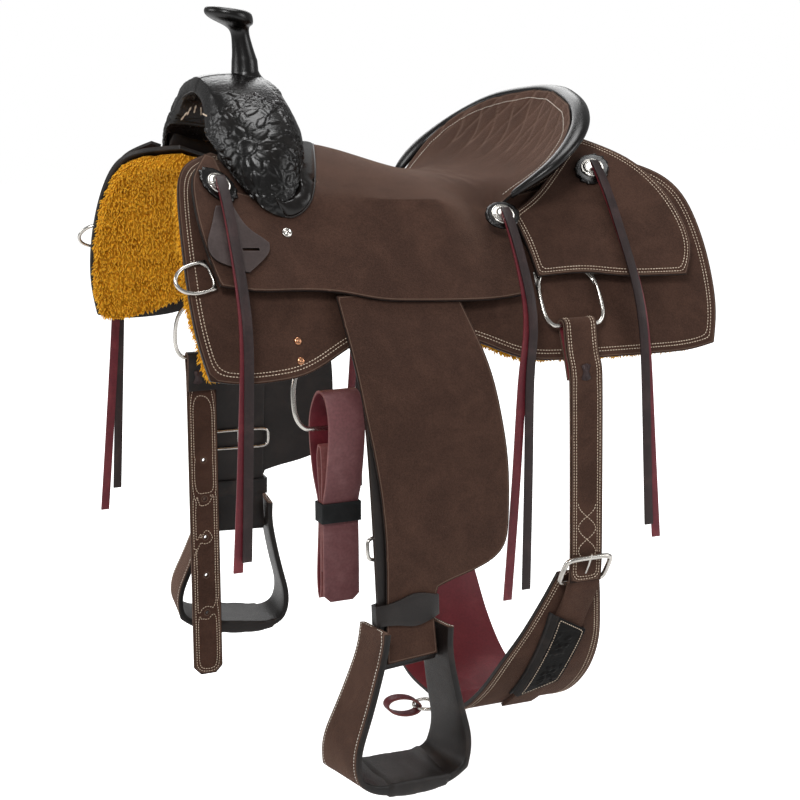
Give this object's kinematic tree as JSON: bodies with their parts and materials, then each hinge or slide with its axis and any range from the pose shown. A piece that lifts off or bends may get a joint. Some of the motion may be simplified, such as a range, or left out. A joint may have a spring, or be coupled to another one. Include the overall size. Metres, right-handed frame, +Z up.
{
  "type": "ranch saddle",
  "caption": "Western ranch saddle with tooled swells, roughout skirts and fenders, a post horn, fleece lining, flat rigging, saddle strings, leather-covered stirrups and a flank cinch.",
  "frame": {"origin": "On the saddle's centre plane near the middle of its length, at the height of the horse's back under the middle of the seat", "axes": "+X points forward to the horse's head and the horn end, +Y to the left or near side, which faces the picture's camera, +Z up as the saddle stands on its stand"},
  "size_m": [0.7193, 0.7266, 0.9739],
  "materials": {
    "roughout_leather": "dark brown roughout leather with a short suede nap",
    "tooled_leather": "near-black oiled leather with stamped relief, satin",
    "latigo_leather": "burgundy latigo leather, waxed and slightly glossy",
    "dark_leather": "dark brown strap leather, satin",
    "fleece": "golden yellow wool fleece, deep soft pile",
    "wood": "bare wooden tree under the leather",
    "steel": "nickel-plated steel hardware with a soft shine",
    "foam": "suede-covered seat padding",
    "hook_loop": "black hook and loop band"
  },
  "bodies": {
    "saddle": {"tree_bar_near": "wood", "tree_bar_off": "wood", "skirt_near": "roughout_leather", "skirt_off": "roughout_leather", "fleece_near": "fleece", "fleece_off": "fleece", "rigging_plate_near": "steel", "rigging_plate_off": "steel", "rear_jockey_near": "roughout_leather", "rear_jockey_off": "roughout_leather", "seat_leather": "roughout_leather", "seat_pad": "foam", "ground_seat": "steel", "tree_cantle": "wood", "cantle_roll": "tooled_leather", "cantle_back": "tooled_leather", "fork_cover": "tooled_leather", "tree_fork": "wood", "horn_core": "steel", "horn_cover": "tooled_leather", "concho_front_near": "dark_leather", "concho_front_off": "dark_leather", "concho_mid_near": "dark_leather", "concho_mid_off": "dark_leather", "concho_rear_near": "dark_leather", "concho_rear_off": "dark_leather", "rear_dee_near": "steel", "rear_dee_off": "steel", "latigo_keeper": "dark_leather"},
    "leg_near": {"fender_near": "roughout_leather", "stirrup_leather_near": "roughout_leather", "leather_buckle_near": "steel", "hobble_strap_near": "roughout_leather"},
    "stirrup_swing_near": {"stirrup_near": "roughout_leather"},
    "breast_dee_flip_near": {"breast_dee_near": "steel"},
    "front_dee_flip_near": {"front_dee_near": "steel"},
    "leg_off": {"fender_off": "roughout_leather", "stirrup_leather_off": "roughout_leather", "leather_buckle_off": "steel", "hobble_strap_off": "roughout_leather"},
    "stirrup_swing_off": {"stirrup_off": "roughout_leather"},
    "breast_dee_flip_off": {"breast_dee_off": "steel"},
    "front_dee_flip_off": {"front_dee_off": "steel"},
    "latigo_hang": {"latigo": "latigo_leather", "latigo_band": "hook_loop"},
    "off_billet_hang": {"off_billet": "latigo_leather"},
    "flank_swing": {"rear_billet_near": "latigo_leather", "rear_billet_off": "latigo_leather", "flank_buckle_near": "steel", "flank_buckle_off": "steel", "flank_cinch": "latigo_leather", "flank_pocket_near": "tooled_leather", "flank_dee": "steel"},
    "connector_turn": {"connector_strap": "latigo_leather"},
    "string_front_near_hang": {"string_front_near": "dark_leather"},
    "string_front_off_hang": {"string_front_off": "dark_leather"},
    "string_mid_near_hang": {"string_mid_near": "dark_leather"},
    "string_mid_off_hang": {"string_mid_off": "dark_leather"},
    "string_rear_near_hang": {"string_rear_near": "dark_leather"},
    "string_rear_off_hang": {"string_rear_off": "dark_leather"}
  },
  "joints": [
    {"name": "leg_swing_near", "type": "hinge", "parent": "saddle", "child": "leg_near", "pos_m": [0.089, 0.17608, -0.03982], "axis": [0, 0.891, 0.454], "range_deg": [-16, 7]},
    {"name": "stirrup_turn_near", "type": "hinge", "parent": "leg_near", "child": "stirrup_swing_near", "pos_m": [0.089, 0.30559, -0.53272], "axis": [0.9848, 0.1736, 0], "range_deg": [-8, 12]},
    {"name": "breast_dee_near", "type": "hinge", "parent": "saddle", "child": "breast_dee_flip_near", "pos_m": [0.29, 0.20674, -0.07329], "axis": [0.2269, -0.4316, 0.8731], "range_deg": [0, 35]},
    {"name": "front_dee_near", "type": "hinge", "parent": "saddle", "child": "front_dee_flip_near", "pos_m": [0.155, 0.22094, -0.16617], "axis": [0.8984, 0.0634, -0.4346], "range_deg": [0, 3.4]},
    {"name": "leg_swing_off", "type": "hinge", "parent": "saddle", "child": "leg_off", "pos_m": [0.089, -0.17608, -0.03982], "axis": [0, 0.891, -0.454], "range_deg": [-16, 7]},
    {"name": "stirrup_turn_off", "type": "hinge", "parent": "leg_off", "child": "stirrup_swing_off", "pos_m": [0.089, -0.30559, -0.53272], "axis": [0.9848, -0.1736, 0], "range_deg": [-12, 8]},
    {"name": "breast_dee_off", "type": "hinge", "parent": "saddle", "child": "breast_dee_flip_off", "pos_m": [0.29, -0.20674, -0.07329], "axis": [-0.2269, -0.4316, -0.8731], "range_deg": [0, 35]},
    {"name": "front_dee_off", "type": "hinge", "parent": "saddle", "child": "front_dee_flip_off", "pos_m": [0.155, -0.22094, -0.16617], "axis": [-0.8984, 0.0634, 0.4346], "range_deg": [0, 3.3]},
    {"name": "latigo_swing", "type": "hinge", "parent": "front_dee_flip_near", "child": "latigo_hang", "pos_m": [0.155, 0.23466, -0.26017], "axis": [-1, 0, 0], "range_deg": [-10, 20]},
    {"name": "off_billet_swing", "type": "hinge", "parent": "front_dee_flip_off", "child": "off_billet_hang", "pos_m": [0.155, -0.23466, -0.26017], "axis": [-1, 0, 0], "range_deg": [-30, 3.5]},
    {"name": "flank_cinch_swing", "type": "hinge", "parent": "saddle", "child": "flank_swing", "pos_m": [-0.17, 0, -0.15938], "axis": [0, 1, 0], "range_deg": [-3, 3]},
    {"name": "connector_strap_turn", "type": "hinge", "parent": "flank_swing", "child": "connector_turn", "pos_m": [-0.063, 0, -0.7364], "axis": [0, 1, 0], "range_deg": [-60, 20]},
    {"name": "string_front_near_swing", "type": "hinge", "parent": "saddle", "child": "string_front_near_hang", "pos_m": [0.2599, 0.15769, 0.03404], "axis": [1, 0, 0], "range_deg": [0, 60]},
    {"name": "string_front_off_swing", "type": "hinge", "parent": "saddle", "child": "string_front_off_hang", "pos_m": [0.25986, -0.15775, 0.03406], "axis": [-1, 0, 0], "range_deg": [0, 60]},
    {"name": "string_mid_near_swing", "type": "hinge", "parent": "saddle", "child": "string_mid_near_hang", "pos_m": [-0.09711, 0.18903, -0.01677], "axis": [1, 0, 0], "range_deg": [0, 60]},
    {"name": "string_mid_off_swing", "type": "hinge", "parent": "saddle", "child": "string_mid_off_hang", "pos_m": [-0.09711, -0.18903, -0.01677], "axis": [-1, 0, 0], "range_deg": [0, 60]},
    {"name": "string_rear_near_swing", "type": "hinge", "parent": "saddle", "child": "string_rear_near_hang", "pos_m": [-0.24987, 0.1421, 0.03159], "axis": [1, 0, 0], "range_deg": [0, 60]},
    {"name": "string_rear_off_swing", "type": "hinge", "parent": "saddle", "child": "string_rear_off_hang", "pos_m": [-0.24987, -0.1421, 0.03159], "axis": [-1, 0, 0], "range_deg": [0, 60]}
  ]
}
